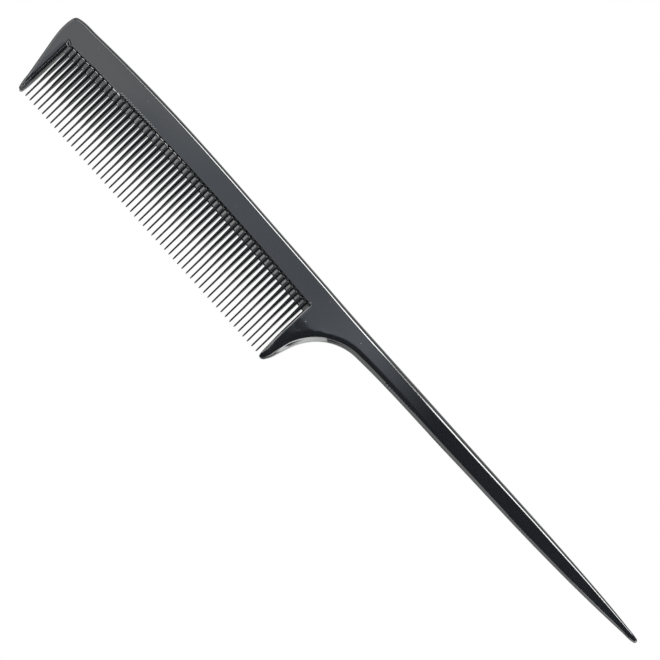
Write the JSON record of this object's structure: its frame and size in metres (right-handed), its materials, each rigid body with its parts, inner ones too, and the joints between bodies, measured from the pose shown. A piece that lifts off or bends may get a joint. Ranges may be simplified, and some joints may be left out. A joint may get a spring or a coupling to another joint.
{
  "type": "rat tail comb",
  "caption": "Slim hairdressing comb with one row of fine teeth between two guard teeth, and a long tapered tail for parting and sectioning hair.",
  "frame": {"origin": "centre of the bounding box in X and Y, on the plane that the comb lies on", "axes": "+X along the comb from the head to the tail tip, +Y across it from the tooth tips to the rounded back, +Z through its thickness, up from the surface it lies on"},
  "size_m": [0.2214, 0.0274, 0.0042],
  "materials": {
    "black_plastic": "glossy moulded black plastic, mirror-like on the flat face"
  },
  "bodies": {
    "root": {"spine": "black_plastic", "head_guard": "black_plastic", "fine_teeth": "black_plastic", "root_web": "black_plastic", "tail_guard": "black_plastic", "neck": "black_plastic", "tail": "black_plastic", "tail_tip": "black_plastic"}
  },
  "joints": []
}
